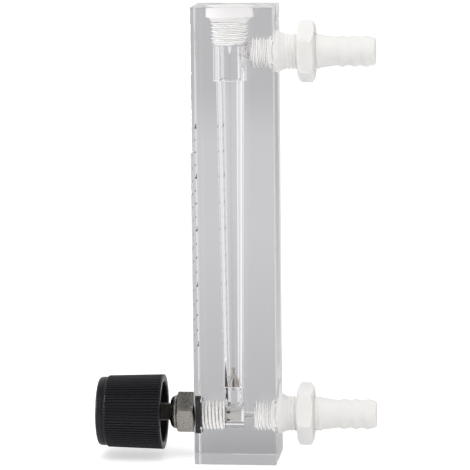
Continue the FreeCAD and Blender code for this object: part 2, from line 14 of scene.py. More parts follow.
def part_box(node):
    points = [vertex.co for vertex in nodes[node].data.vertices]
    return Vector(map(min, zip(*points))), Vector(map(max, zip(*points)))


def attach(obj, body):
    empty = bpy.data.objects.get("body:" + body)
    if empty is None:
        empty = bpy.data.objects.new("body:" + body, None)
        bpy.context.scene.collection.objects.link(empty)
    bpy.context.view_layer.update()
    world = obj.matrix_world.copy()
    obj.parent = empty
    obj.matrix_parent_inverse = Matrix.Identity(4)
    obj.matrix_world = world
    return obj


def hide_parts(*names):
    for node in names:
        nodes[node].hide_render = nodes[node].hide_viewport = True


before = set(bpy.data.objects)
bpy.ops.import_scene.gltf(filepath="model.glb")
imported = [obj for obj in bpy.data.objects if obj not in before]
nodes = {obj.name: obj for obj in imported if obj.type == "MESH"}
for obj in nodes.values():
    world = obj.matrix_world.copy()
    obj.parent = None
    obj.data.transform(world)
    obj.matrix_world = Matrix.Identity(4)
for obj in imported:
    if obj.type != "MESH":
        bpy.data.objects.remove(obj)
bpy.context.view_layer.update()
mm = 0.001

# %% [markdown]
# ## Places that everything else hangs on
# A node's box tells where its piece lies, so the axes of the bore and the two ports, and the faces of the
# block, are read from the frame. Only sizes that no box can tell are typed, in millimetres, beside the
# piece that needs them. Three of them serve everywhere: the two thread pitches, the gap between a screw
# and its thread, and how far a white piece is pressed into the acrylic. Without that hundredth of a
# millimetre a film of air would stay between the two, and the clear block would mirror instead of showing
# the piece.

# %% Read the axes and faces from the frame
block_low, block_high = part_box("meter_block")
front_y, back_y = block_low.y, block_high.y
top_z = block_high.z


def middle(node):
    """The middle of a node's box."""
    low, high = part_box(node)
    return (low + high) / 2


bore_axis = Vector((0, middle("float").y, 0))
inlet_axis = Vector((0, 0, middle("inlet_fitting").z))
outlet_axis = Vector((0, 0, middle("outlet_fitting").z))
block_pitch = 1.0
stem_pitch = 0.5
thread_gap = 0.05
pressed_in = 0.01
print("bore at y %.2f mm" % (bore_axis.y / mm))
print("ports at z %.1f and %.1f mm" % (inlet_axis.z / mm, outlet_axis.z / mm))

# %% [markdown]
# ## Turning a section round an axis
# Most pieces here were turned or moulded round, so one helper does what a hand would do: a single point is
# extruded along half of the section, and the line is spun round the axis. Spinning can turn a shell inside
# out, so doubles are merged and the normals worked out again.


# %% A helper that lathes a section
def deselect():
    """Leave edit mode's leftovers behind, so that the next operator acts only on its own piece."""
    bpy.ops.object.select_all(action="DESELECT")


def edit_all():
    """Enter edit mode with everything selected."""
    bpy.ops.object.mode_set(mode="EDIT")
    bpy.ops.mesh.select_all(action="SELECT")


def close_up(threshold):
    """Merge doubles nearer than some millimetres, turn the normals outwards and leave edit mode."""
    bpy.ops.mesh.select_all(action="SELECT")
    bpy.ops.mesh.remove_doubles(threshold=threshold * mm)
    bpy.ops.mesh.normals_make_consistent(inside=False)
    bpy.ops.object.mode_set(mode="OBJECT")


def draw_line(name, points):
    """Extrude one vertex from point to point."""
    deselect()
    bpy.ops.mesh.primitive_plane_add(size=mm, location=(0, 0, 0))
    line = bpy.context.object
    line.name = name
    edit_all()
    bpy.ops.mesh.merge(type="CENTER")
    bpy.ops.transform.translate(value=points[0])
    for start, end in zip(points, points[1:]):
        bpy.ops.mesh.extrude_region_move(TRANSFORM_OT_translate={"value": end - start})
    bpy.ops.object.mode_set(mode="OBJECT")
    return line


def pointing(along):
    """Unit vector along Y or Z."""
    return Vector((0, 1, 0)) if along == "Y" else Vector((0, 0, 1))


def on_axis(section, axis_point, along):
    """Section points (radius, distance) in millimetres as points in space beside an axis along Y or Z."""
    return [axis_point + Vector((r * mm, 0, 0)) + pointing(along) * d * mm for r, d in section]


def lathe(name, section, axis_point=inlet_axis, along="Y", steps=96):
    """Spin a closed section, or one that starts and ends on the axis, into a solid. The valve's axis serves
    unless another is given."""
    piece = draw_line(name, on_axis(section, axis_point, along))
    edit_all()
    bpy.ops.mesh.spin(steps=steps, angle=2 * math.pi, center=axis_point, axis=pointing(along))
    close_up(0.0005)
    return piece


def closed(section):
    """The section with its first point repeated at the end."""
    return section + section[:1]


# %% [markdown]
# ## Boxes, rounding, cutting and joining
# What isn't round starts as a cube that takes the wanted size. No moulded or machined edge is perfectly
# sharp, and the small round on it is what catches the light. A Bevel modifier that only takes sharp edges
# rounds a whole piece at once. Holes are cut with an exact Boolean, as a drill would cut them.


# %% Helpers that make boxes, round, cut, fuse and join
def cuboid(name, centre, size):
    """Box with its middle at a point. Both are in metres."""
    deselect()
    bpy.ops.mesh.primitive_cube_add(size=1, location=centre)
    box = bpy.context.object
    box.name = name
    box.dimensions = size
    bpy.ops.object.transform_apply(location=True, rotation=True, scale=True)
    return box


def apply_modifier(piece, modifier):
    """Make what a modifier shows the piece's own mesh."""
    deselect()
    piece.select_set(True)
    bpy.context.view_layer.objects.active = piece
    bpy.ops.object.modifier_apply(modifier=modifier.name)


def round_edges(piece, width, segments=2, sharper_than=35):
    """Round every edge that turns by more than an angle in degrees."""
    bevel = piece.modifiers.new("Rounding", "BEVEL")
    bevel.width = width * mm
    bevel.segments = segments
    bevel.limit_method = "ANGLE"
    bevel.angle_limit = math.radians(sharper_than)
    apply_modifier(piece, bevel)


def boolean(piece, tool, operation="DIFFERENCE"):
    """Cut a piece with a tool, which is used up, or else fuse or intersect the two."""
    step = piece.modifiers.new("Cut", "BOOLEAN")
    step.operation = operation
    step.solver = "EXACT"
    step.object = tool
    apply_modifier(piece, step)
    bpy.data.objects.remove(tool)


def report(piece):
    """Print how many faces a piece has."""
    print("%s: %d faces" % (piece.name, len(piece.data.polygons)))


def join(pieces, name):
    """Make one piece of several."""
    deselect()
    for piece in pieces:
        piece.select_set(True)
    bpy.context.view_layer.objects.active = pieces[0]
    bpy.ops.object.join()
    pieces[0].name = name
    return pieces[0]


def smooth(piece, degrees=32):
    """Shade smoothly, apart from edges that turn by more than an angle."""
    deselect()
    piece.select_set(True)
    bpy.context.view_layer.objects.active = piece
    bpy.ops.object.shade_smooth_by_angle(angle=math.radians(degrees))


# %% [markdown]
# ## A real screw thread
# The threads show clearly inside the block, because their flanks mirror the light, so they're modelled as
# true helices. One tooth of the thread's section is drawn, the Screw modifier winds it up by one pitch for
# each turn, and two bisecting cuts through spare turns give the rod flat ends.


# %% A helper that winds a thread
def thread(name, root_r, crest_r, start, end, axis_point=inlet_axis, along="Y", pitch=block_pitch, steps=48):
    """Rod with one helical ridge from start to end, in millimetres. Turns of one pitch always keep step."""
    turns_before, turns_after = 2, 3
    tooth = [
        (root_r, 0),
        (root_r, 0.12 * pitch),
        (crest_r, 0.45 * pitch),
        (crest_r, 0.62 * pitch),
        (root_r, pitch),
    ]
    direction = pointing(along)
    first = (math.floor(start / pitch) - turns_before) * pitch * mm
    rod = draw_line(name, [p + direction * first for p in on_axis(tooth, Vector((0, 0, 0)), along)])
    screw = rod.modifiers.new("Turns", "SCREW")
    screw.axis = along
    screw.angle = 2 * math.pi
    screw.screw_offset = pitch * mm
    screw.iterations = math.ceil((end - start) / pitch) + turns_before + turns_after
    screw.steps = steps
    screw.render_steps = steps
    apply_modifier(rod, screw)
    edit_all()
    bpy.ops.mesh.remove_doubles(threshold=0.001 * mm)
    for place, is_start in ((start, True), (end, False)):
        bpy.ops.mesh.select_all(action="SELECT")
        bpy.ops.mesh.bisect(
            plane_co=direction * place * mm,
            plane_no=direction,
            use_fill=True,
            clear_inner=is_start,
            clear_outer=not is_start,
            threshold=0.0001 * mm,
        )
    bpy.ops.mesh.select_all(action="SELECT")
    bpy.ops.mesh.remove_doubles(threshold=0.0002 * mm)
    bpy.ops.transform.translate(value=axis_point)
    bpy.ops.mesh.normals_make_consistent(inside=False)
    bpy.ops.object.mode_set(mode="OBJECT")
    return rod


# %% [markdown]
# ## The acrylic block
# The block starts as a cube of the node's size with broken edges. It is then drilled and tapped as in the
# workshop: the tapered bore with the chamber above it, the plug's hole, the valve's stepped hole in front
# and a threaded, countersunk hole behind for each fitting. Light turns at every one of these walls, so they
# are real cavities and not paint.

# %% Cut the block out and break its edges
upright_edge_break = 0.35
other_edge_break = 0.12
block = cuboid("acrylic_block", (block_low + block_high) / 2, block_high - block_low)
bpy.ops.object.mode_set(mode="EDIT")
bpy.ops.mesh.select_mode(type="EDGE")
bpy.ops.mesh.select_all(action="DESELECT")
bpy.ops.object.mode_set(mode="OBJECT")
for edge in block.data.edges:
    one, other = (block.data.vertices[k].co for k in edge.vertices)
    edge.select = abs(one.z - other.z) > mm
bpy.ops.object.mode_set(mode="EDIT")
bpy.ops.mesh.bevel(offset=upright_edge_break * mm, segments=1)
bpy.ops.mesh.select_mode(type="VERT")
bpy.ops.object.mode_set(mode="OBJECT")
round_edges(block, other_edge_break, segments=1, sharper_than=60)
report(block)

# %% Drill the bore, from the riser up to the plug's seat
float_low, float_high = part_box("float")
plug_low, plug_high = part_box("top_plug")
float_tail = 1.0
seat_z = float_low.z / mm + float_tail
riser_r = 2.5
bore_bottom_r = 2.75
bore_top_r = 3.9
chamber_floor_z = 105.0
chamber_r = 4.6
plug_seat_z = plug_high.z / mm - 2.8
plug_thread_end_z = plug_seat_z - 7.3
plug_minor_r = 4.45
plug_major_r = 5.0
plug_cone_depth = 1.2
plug_cone_low_r = 5.05
plug_cone_top_r = 5.75
head_recess_r = 6.45
bore_tool = lathe(
    "bore_tool",
    [
        (0, inlet_axis.z / mm),
        (riser_r, inlet_axis.z / mm),
        (riser_r, seat_z),
        (bore_bottom_r, seat_z),
        (bore_top_r, chamber_floor_z),
        (chamber_r, chamber_floor_z),
        (chamber_r, plug_thread_end_z - 0.5),
        (plug_minor_r + thread_gap, plug_thread_end_z - 0.5),
        (plug_minor_r + thread_gap, plug_seat_z - plug_cone_depth),
        (plug_cone_low_r, plug_seat_z - plug_cone_depth),
        (plug_cone_top_r, plug_seat_z),
        (head_recess_r, plug_seat_z),
        (head_recess_r, top_z / mm + 1),
        (0, top_z / mm + 1),
    ],
    bore_axis,
    "Z",
    steps=128,
)
boolean(block, bore_tool)
tap_start_z = plug_thread_end_z - 0.4
tap_end_z = plug_seat_z - 1.0
plug_tap = thread(
    "plug_tap", plug_minor_r - 0.1, plug_major_r + thread_gap, tap_start_z, tap_end_z, bore_axis, "Z"
)
boolean(block, plug_tap)
report(block)

# %% Drill and tap the valve's hole, and drill the outlet's passage
port_minor_r = 3.4
port_major_r = 4.0
tap_minor_r = port_minor_r + thread_gap
tap_major_r = port_major_r + thread_gap
tap_root_r = tap_minor_r - 0.15
ring_pocket_r = 5.2
cavity_r = 3.5
inlet_passage_r = 1.1
outlet_passage_r = 1.6
front = front_y / mm
back = back_y / mm
ring_pocket_y = front + 1.6
bonnet_end_y = ring_pocket_y + 6.4
cavity_end_y = front + 13.25
fitting_end_y = back - 6.5
valve_tool = lathe(
    "valve_tool",
    [
        (0, front - 1),
        (ring_pocket_r, front - 1),
        (ring_pocket_r, ring_pocket_y),
        (tap_minor_r, ring_pocket_y),
        (tap_minor_r, bonnet_end_y),
        (cavity_r, bonnet_end_y),
        (cavity_r, cavity_end_y),
        (inlet_passage_r, cavity_end_y),
        (inlet_passage_r, fitting_end_y),
        (0, fitting_end_y),
    ],
    steps=128,
)
boolean(block, valve_tool)
valve_tap = thread("valve_tap", tap_root_r, tap_major_r, ring_pocket_y - 0.2, bonnet_end_y)
boolean(block, valve_tap)
outlet_drill = lathe(
    "outlet_drill",
    [
        (0, bore_axis.y / mm),
        (outlet_passage_r, bore_axis.y / mm),
        (outlet_passage_r, fitting_end_y),
        (0, fitting_end_y),
    ],
    outlet_axis,
    steps=64,
)
boolean(block, outlet_drill)
report(block)

# %% Countersink and tap the two fittings' holes
cone_y = back - 1.6
cone_inner_r = 4.05
cone_outer_r = 5.65


def tap_fitting_hole(axis_point):
    """Countersink and tap one fitting's hole."""
    tool = lathe(
        "countersink",
        [
            (0, fitting_end_y - 0.1),
            (tap_minor_r, fitting_end_y - 0.1),
            (tap_minor_r, cone_y - 0.3),
            (cone_inner_r, cone_y),
            (cone_outer_r, back),
            (cone_outer_r, back + 1),
            (0, back + 1),
        ],
        axis_point,
        steps=128,
    )
    boolean(block, tool)
    tap = thread("tap", tap_root_r, tap_major_r, fitting_end_y, cone_y + 0.1, axis_point)
    boolean(block, tap)


tap_fitting_hole(inlet_axis)
tap_fitting_hole(outlet_axis)
smooth(block, 30)
report(block)
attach(block, "meter")
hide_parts("meter_block")

# %% [markdown]
# ## The printed scale
# The marks are ink, a few hundredths of a millimetre thick, that has keyed into the acrylic's face. Their
# heights come from the CAD node, where the bore's taper spaces them. A mark is modelled once as a thin
# plate, then copied to each place. Plain numbers stand beside every second whole reading.

# %% Find the marks' places in the node and copy one plate to each
ink_depth = 0.05 * mm
ink_y = front_y + ink_depth / 2 + pressed_in * mm
row_height = 0.6 * mm


def mark_places():
    """Ends along X, middle height and thickness of each mark on the +X side, from the node's corners."""
    rows = {}
    for vertex in nodes["flow_scale"].data.vertices:
        if vertex.co.x > 0:
            rows.setdefault(round(vertex.co.z / row_height), []).append(vertex.co.copy())
    merged = []
    for key in sorted(rows):
        if merged and key - merged[-1][0] == 1:
            merged[-1] = (key, merged[-1][1] + rows[key])
        else:
            merged.append((key, rows[key]))
    places = []
    for _, corners in merged:
        low_x, high_x = min(c.x for c in corners), max(c.x for c in corners)
        low_z, high_z = min(c.z for c in corners), max(c.z for c in corners)
        places.append((low_x, high_x, (low_z + high_z) / 2, high_z - low_z))
    return places


def plate(low_x, high_x, z, height):
    """One printed mark."""
    return cuboid("mark", ((low_x + high_x) / 2, ink_y, z), (high_x - low_x, ink_depth, height))


places = mark_places()
print("marks on each side:", len(places))
marks = []
for low_x, high_x, z, height in places:
    marks.append(plate(low_x, high_x, z, height))
    marks.append(plate(-high_x, -low_x, z, height))

# %% Set the numbers beside the even readings
first_reading = 2
number_height = 2.1
number_x = 8.75


def number(text, x, z):
    """A printed number, with its middle at x and z on the front face."""
    deselect()
    bpy.ops.object.text_add(location=(0, 0, 0))
    label = bpy.context.object
    label.data.body = text
    label.data.size = number_height * mm
    label.data.align_x = "CENTER"
    label.data.align_y = "CENTER"
    label.data.extrude = ink_depth / 2
    bpy.ops.object.convert(target="MESH")
    label.rotation_euler = (math.radians(90), 0, 0)
    label.location = (x, ink_y, z)
    bpy.ops.object.transform_apply(location=True, rotation=True, scale=True)
    return label


for k, (_, _, z, _) in enumerate(places):
    reading = first_reading + k / 2
    if reading % 2 == 0:
        for side in (-1, 1):
            marks.append(number("%d" % reading, side * number_x * mm, z))
scale_print = join(marks, "scale_print")
report(scale_print)
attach(scale_print, "meter")
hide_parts("flow_scale")

# %% [markdown]
# ## The top plug
# The plug is white plastic with a flush, slotted head, a cone that seals, a thread, and a point that stops
# the float. The slot is cut with a thin box. The head and cone are pressed into the acrylic by the
# hundredth of a millimetre that keeps them visible through it.

# %% Turn the plug, slot its head and wind its thread
plug_top = plug_high.z / mm
plug_point_z = plug_low.z / mm
head_r = head_recess_r + pressed_in
slot_width, slot_length, slot_height = 1.6, 20, 3
plug = lathe(
    "plug",
    [
        (0, plug_top),
        (head_r, plug_top),
        (head_r, plug_seat_z - pressed_in),
        (plug_cone_top_r + pressed_in, plug_seat_z - pressed_in),
        (plug_cone_low_r + pressed_in, plug_seat_z - plug_cone_depth),
        (plug_minor_r + thread_gap + pressed_in, plug_seat_z - 1.3),
        (plug_minor_r + thread_gap + pressed_in, plug_thread_end_z),
        (1.05, plug_thread_end_z),
        (0.2, plug_point_z),
        (0, plug_point_z),
    ],
    bore_axis,
    "Z",
)
slot_size = Vector((slot_width, slot_length, slot_height)) * mm
slot_tool = cuboid("slot_tool", (0, bore_axis.y, top_z), slot_size)
boolean(plug, slot_tool)
round_edges(plug, 0.15)
crest_r = plug_major_r + thread_gap + pressed_in
plug_thread = thread(
    "plug_thread", plug_minor_r - 0.15, crest_r, plug_thread_end_z + 0.1, plug_seat_z - 1.1, bore_axis, "Z"
)
boolean(plug, plug_thread, "UNION")
plug.name = "slotted_plug"
smooth(plug)
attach(plug, "meter")
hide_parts("top_plug")
report(plug)

# %% [markdown]
# ## The hose fittings
# Both fittings come from one mould: a thread and a cone that seal in the block, a collar, a longer thread
# for the panel nut, and a tapering tail with three soft barbs. Moulded barbs are rounded, so their section
# follows a smooth wave instead of straight teeth.


# %% Draw the section of the barbs
barb_count = 3
barb_length = 3.25
barb_root_r = 3.8
barb_crest_r = 4.2
points_per_barb = 8


def barb_section(start):
    """Rounded barbs: each climbs quickly to its crest and falls slowly towards the tip."""
    points = []
    for k in range(barb_count * points_per_barb + 1):
        share = (k % points_per_barb) / points_per_barb
        skewed = share ** 0.75
        rise = (1 - math.cos(2 * math.pi * skewed)) / 2
        radius = barb_root_r + (barb_crest_r - barb_root_r) * rise
        points.append((radius, start + k * barb_length / points_per_barb))
    return points


print("barbs: %d of %.2f mm" % (barb_count, barb_length))

# %% Turn a fitting from its section and give it both threads
hose_bore_r = 2.2
collar_r = 5.6
neck_length = 4.9
panel_root_r = 4.45
panel_crest_r = 4.85


def fitting(name, node, axis_point):
    """A hose fitting along Y, at the height of its port."""
    tip_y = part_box(node)[1].y / mm
    tail_start = tip_y - 0.5 - barb_count * barb_length
    neck_end = tail_start - neck_length
    section = [
        (hose_bore_r, fitting_end_y),
        (port_minor_r - 0.3, fitting_end_y),
        (tap_minor_r + pressed_in, fitting_end_y + 0.3),
        (tap_minor_r + pressed_in, cone_y - 0.3),
        (cone_inner_r + pressed_in, cone_y),
        (cone_outer_r + pressed_in, back),
        (collar_r, back + 0.05),
        (collar_r, back + 0.85),
        (5.4, back + 1.05),
        (4.75, back + 2.35),
        (4.6, back + 2.6),
        (4.6, neck_end - 0.1),
        (panel_root_r, neck_end + 0.2),
    ]
    section += barb_section(tail_start)
    section += [
        (barb_root_r, tip_y - 0.4),
        (3.4, tip_y),
        (hose_bore_r + 0.2, tip_y),
        (hose_bore_r, tip_y - 0.3),
    ]
    piece = lathe(name, closed(section), axis_point)
    round_edges(piece, 0.12)
    crest_r = tap_major_r + pressed_in
    for threaded in (
        thread("block_thread", port_minor_r - 0.15, crest_r, fitting_end_y + 0.1, cone_y, axis_point),
        thread("panel_thread", panel_root_r, panel_crest_r, back + 2.4, neck_end, axis_point, steps=64),
    ):
        boolean(piece, threaded, "UNION")
    smooth(piece)
    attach(piece, "meter")
    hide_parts(node)
    print(name, "ends at y %.2f mm" % tip_y)
    return piece


inlet_tail = fitting("inlet_tail", "inlet_fitting", inlet_axis)
outlet_tail = fitting("outlet_tail", "outlet_fitting", outlet_axis)

# %% [markdown]
# ## Hexagons
# A nut is a six-sided prism whose corners are cut back by a cone on each face. The prism is a cylinder
# primitive with six sides, and it is intersected with a lathed blank that has the cones. How far each
# hexagon is turned is read from the CAD node: the corner furthest from the axis gives the angle.


# %% A helper that makes hexagons
def corner_angle(node, axis_point):
    """Angle about the port's axis, from +X towards +Z, of one of a hexagon's corners."""
    best = max(nodes[node].data.vertices, key=lambda v: (v.co - axis_point).xz.length)
    offset = best.co - axis_point
    return math.atan2(offset.z, offset.x)


def hexagon(name, flats, low, high, angle, axis_point, cone_depth=0.5):
    """Six-sided prism along Y between two distances in millimetres, with its corners cut back."""
    corner_r = flats / math.sqrt(3)
    deselect()
    bpy.ops.mesh.primitive_cylinder_add(
        vertices=6, radius=corner_r * mm, depth=(high - low) * mm, location=(0, 0, 0), end_fill_type="NGON"
    )
    prism = bpy.context.object
    prism.name = name
    first_corner = math.atan2(prism.data.vertices[0].co.y, prism.data.vertices[0].co.x)
    turn = Matrix.Rotation(math.radians(90), 4, "X") @ Matrix.Rotation(angle - first_corner, 4, "Z")
    prism.matrix_world = Matrix.Translation(axis_point + Vector((0, (low + high) / 2 * mm, 0))) @ turn
    bpy.ops.object.transform_apply(location=True, rotation=True, scale=True)
    face_r = flats / 2 * 0.97
    blank = lathe(
        name + "_blank",
        [
            (0, low - 0.01),
            (face_r, low - 0.01),
            (corner_r + 0.1, low + cone_depth),
            (corner_r + 0.1, high - cone_depth),
            (face_r, high + 0.01),
            (0, high + 0.01),
        ],
        axis_point,
    )
    boolean(prism, blank, "INTERSECT")
    return prism


print("inlet nut turned by %.1f degrees" % math.degrees(corner_angle("inlet_nut", inlet_axis)))

# %% Make the two panel nuts
nut_flats = 15.0
nut_hole_r = 4.9
nut_mouth_r = 5.5
nut_mouth_depth = 0.6


def panel_nut(name, node, axis_point):
    """White nut on a fitting's panel thread."""
    low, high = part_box(node)
    start, end = low.y / mm, high.y / mm
    nut = hexagon(name, nut_flats, start, end, corner_angle(node, axis_point), axis_point, cone_depth=0.75)
    hole = lathe(
        name + "_hole",
        [
            (0, start - 1),
            (nut_mouth_r, start - 1),
            (nut_mouth_r, start),
            (nut_hole_r, start + nut_mouth_depth),
            (nut_hole_r, end - nut_mouth_depth),
            (nut_mouth_r, end),
            (nut_mouth_r, end + 1),
            (0, end + 1),
        ],
        axis_point,
    )
    boolean(nut, hole)
    round_edges(nut, 0.22, segments=3, sharper_than=25)
    smooth(nut, 40)
    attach(nut, "meter")
    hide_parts(node)
    print(name, "from y %.2f to %.2f mm" % (start, end))
    return nut


lower_nut = panel_nut("lower_panel_nut", "inlet_nut", inlet_axis)
upper_nut = panel_nut("upper_panel_nut", "outlet_nut", outlet_axis)

# %% [markdown]
# ## The valve's bonnet, ring and stem
# The bonnet is turned from one bar: a domed collar, a hexagon for the spanner, and the thread that shows
# through the block. Over that thread lies a white sleeve, which is a painted reflection of the bright
# surroundings that the nickel thread mirrors. The bonnet is hollow: behind the stem's hole lies a wider
# gland, and the sleeve and the thread wrap round it. The black ring fills the pocket behind the hexagon. The
# stem is dark steel with a fine thread of half a millimetre pitch.

# %% Turn the bonnet's body
bonnet_low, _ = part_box("valve_bonnet")
collar_y = bonnet_low.y / mm
collar_length = 1.95
hex_length = 4.85
hex_front_y = collar_y + collar_length
hex_rear_y = hex_front_y + hex_length
hex_flats = 11.0
hex_hole_r = 3.8
stem_hole_r = 2.5
gland_r = 2.65
gland_start_y = collar_y + 4.2
section = [
    (stem_hole_r, collar_y + 0.3),
    (stem_hole_r + 0.3, collar_y),
    (3.45, collar_y),
    (3.95, collar_y + 0.22),
    (4.35, collar_y + 0.62),
    (4.6, collar_y + 1.2),
    (4.65, collar_y + 1.7),
    (4.5, hex_front_y - 0.1),
    (4.5, hex_front_y + 0.5),
    (3.9, hex_front_y + 0.5),
    (3.9, ring_pocket_y),
    (port_minor_r, ring_pocket_y + 0.2),
    (port_minor_r, bonnet_end_y),
    (gland_r, bonnet_end_y),
    (gland_r, gland_start_y),
    (stem_hole_r, gland_start_y),
]
bonnet_body = lathe("bonnet_body", closed(section))
round_edges(bonnet_body, 0.08)
print("bonnet from y %.2f to %.2f mm" % (collar_y, bonnet_end_y))


# %% Add the hexagon and the thread
def hollow(piece, radius, start, end):
    """Drill a piece along the valve's axis, from a little before start to a little past end."""
    section = [(0, start - 1), (radius, start - 1), (radius, end + 1), (0, end + 1)]
    boolean(piece, lathe("drill", section))


hex_angle = corner_angle("valve_bonnet", inlet_axis)
bonnet_hex = hexagon("bonnet_hex", hex_flats, hex_front_y, hex_rear_y, hex_angle, inlet_axis, cone_depth=0.45)
hollow(bonnet_hex, hex_hole_r, hex_front_y, hex_rear_y)
round_edges(bonnet_hex, 0.12, sharper_than=25)
bonnet_thread = thread(
    "bonnet_thread", port_minor_r - 0.02, port_major_r - 0.02, ring_pocket_y + 0.1, bonnet_end_y
)
sleeve_r = (gland_r + port_minor_r) / 2
hollow(bonnet_thread, sleeve_r, ring_pocket_y, bonnet_end_y)
bonnet = join([bonnet_body, bonnet_hex, bonnet_thread], "bonnet")
smooth(bonnet)
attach(bonnet, "meter")
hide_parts("valve_bonnet")
report(bonnet)

# %% Wind a white sleeve into the valve's thread, a painted reflection of bright surroundings in the nickel
crest_r = tap_major_r + pressed_in
# The sleeve covers the nickel thread, and its white is a painted reflection.
painted_reflection_sleeve = thread("thread_painted_reflection", port_minor_r - 0.03, crest_r, ring_pocket_y + 0.12, bonnet_end_y - 0.05)
hollow(painted_reflection_sleeve, sleeve_r, ring_pocket_y, bonnet_end_y)
smooth(painted_reflection_sleeve)
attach(painted_reflection_sleeve, "meter")
report(painted_reflection_sleeve)

# %% Roll the squeezed rubber ring
ring_low, ring_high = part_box("valve_seal")
ring_start = ring_low.y / mm - 0.03
ring_end = ring_high.y / mm + 0.06
ring_inner_r = 3.95
ring_outer_r = ring_pocket_r + pressed_in
section = [
    (ring_inner_r, ring_start),
    (ring_outer_r, ring_start),
    (ring_outer_r, ring_end),
    (ring_inner_r, ring_end),
]
rubber_ring = lathe("rubber_ring", closed(section))
round_edges(rubber_ring, 0.4, segments=5)
smooth(rubber_ring, 50)
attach(rubber_ring, "meter")
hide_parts("valve_seal")
print("ring from y %.2f to %.2f mm" % (ring_start, ring_end))

# %% Turn the stem and wind its fine thread
stem_low, stem_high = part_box("valve_stem")
stem_front = stem_low.y / mm
shoulder_y = stem_front + 8.7
stem_step_y = collar_y + 6.3
gland_end_y = stem_step_y + 6.5
needle_start_y = stem_step_y + 10.55
stem_body = lathe(
    "stem_body",
    [
        (0, stem_front),
        (2.0, stem_front),
        (2.0, shoulder_y),
        (2.15, shoulder_y),
        (2.15, stem_step_y),
        (2.6, stem_step_y),
        (2.6, gland_end_y),
        (1.3, gland_end_y),
        (1.3, needle_start_y),
        (0.35, stem_high.y / mm - 0.15),
        (0, stem_high.y / mm),
    ],
)
stem_thread = thread("stem_thread", 2.13, 2.45, shoulder_y, stem_step_y, pitch=stem_pitch)
stem = join([stem_body, stem_thread], "threaded_stem")
smooth(stem)
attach(stem, "knob")
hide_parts("valve_stem")
print("stem from y %.2f to %.2f mm" % (stem_front, stem_high.y / mm))

# %% [markdown]
# ## The float and the valve's nose
# The float is turned from steel and polished: a short tail in the riser, a lip that the flow lifts, and a
# button on top. Where the bore changes width, a bright line of light shows round the wall. It is a painted
# highlight: two hair-thin white rings set in the acrylic, since a flat line would have no thickness to show.
# The nose at the end of the valve has the orifice that the needle closes, and six small ports that let
# the fluid out.

# %% Turn the float
float_top = float_high.z / mm
float_bottom = float_low.z / mm
widest_r = 2.65
neck_r = 0.55
button_r = 0.85
lip_z = seat_z + 0.8
neck_z = float_top - 1.15


def flank_section(steps):
    """Rounded flank of the float: full near the lip, drawn in to the neck."""
    points = []
    for k in range(steps + 1):
        share = k / steps
        points.append((neck_r + (widest_r - neck_r) * (1 - share ** 1.9), lip_z + (neck_z - lip_z) * share))
    return points


polished_float = lathe(
    "polished_float",
    [
        (0, float_bottom),
        (0.8, float_bottom),
        (1.0, seat_z - 0.02),
        (widest_r - 0.15, seat_z + 0.02),
        (widest_r, seat_z + 0.17),
    ]
    + flank_section(14)
    + [
        (neck_r, float_top - 0.8),
        (button_r, float_top - 0.7),
        (button_r, float_top - 0.15),
        (button_r - 0.15, float_top),
        (0, float_top),
    ],
    bore_axis,
    "Z",
)
print("float from z %.2f to %.2f mm" % (float_bottom, float_top))

# %% Set a ring of painted highlight at each of the bore's two steps
# Thin white rings: a painted highlight for the bright line at each step.
highlight_ring_depth = 0.08
half_highlight_ring = 0.07
rings = []
for step_r, step_z in ((bore_bottom_r, seat_z), (chamber_r, chamber_floor_z)):
    inner_r = step_r + pressed_in
    outer_r = inner_r + highlight_ring_depth
    section = [
        (inner_r, step_z - half_highlight_ring),
        (outer_r, step_z - half_highlight_ring),
        (outer_r, step_z + half_highlight_ring),
        (inner_r, step_z + half_highlight_ring),
    ]
    rings.append(lathe("painted_step_highlight", closed(section), bore_axis, "Z"))
    print("step at z %.2f mm, radius %.2f mm" % (step_z, step_r))
painted_step_highlights = join(rings, "painted_step_highlights")
smooth(painted_step_highlights)
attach(painted_step_highlights, "meter")

# %% Turn the nose and drill its ports
nose_low, nose_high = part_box("valve_nose")
nose_start = nose_low.y / mm
nose_end = nose_high.y / mm
nose_r = 2.7
chamber_inner_r = 1.9
spigot_r = gland_r - 0.05
orifice_r = 0.9
orifice_mouth_r = 1.3
section = [
    (chamber_inner_r, nose_start),
    (spigot_r, nose_start),
    (spigot_r, bonnet_end_y),
    (nose_r, bonnet_end_y),
    (nose_r, nose_end - 0.2),
    (nose_r - 0.2, nose_end),
    (orifice_r, nose_end),
    (orifice_r, nose_end - 0.45),
    (orifice_mouth_r, nose_end - 0.85),
    (chamber_inner_r, nose_end - 0.85),
]
nose = lathe("drilled_nose", closed(section))
port_count = 6
port_r = 0.55
port_y = bonnet_end_y + 0.85
drill_length = 3
drill_middle_r = 2
for k in range(port_count):
    turn = 2 * math.pi * k / port_count + math.radians(30)
    across, up = drill_middle_r * mm * math.cos(turn), drill_middle_r * mm * math.sin(turn)
    deselect()
    bpy.ops.mesh.primitive_cylinder_add(
        vertices=24,
        radius=port_r * mm,
        depth=drill_length * mm,
        location=inlet_axis + Vector((across, port_y * mm, up)),
        rotation=(0, math.pi / 2 - turn, 0),
    )
    boolean(nose, bpy.context.object)
report(nose)

# %% Break their edges and hang them on their bodies
for piece, node, body, slot in (
    (polished_float, "float", "float", "polished_steel"),
    (nose, "valve_nose", "meter", "turned_brass"),
):
    round_edges(piece, 0.06)
    smooth(piece)
    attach(piece, body)
    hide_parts(node)
    print(piece.name, "rides", body)

# %% [markdown]
# ## The knob
# The knob is a moulded cup. Its plain form is lathed first. The grip is a straight knurl: one ridge is
# shaped from a cube, drawn in towards the front as the mould's draft makes it, and spun round the axis as
# copies. A smooth disc closes the front.

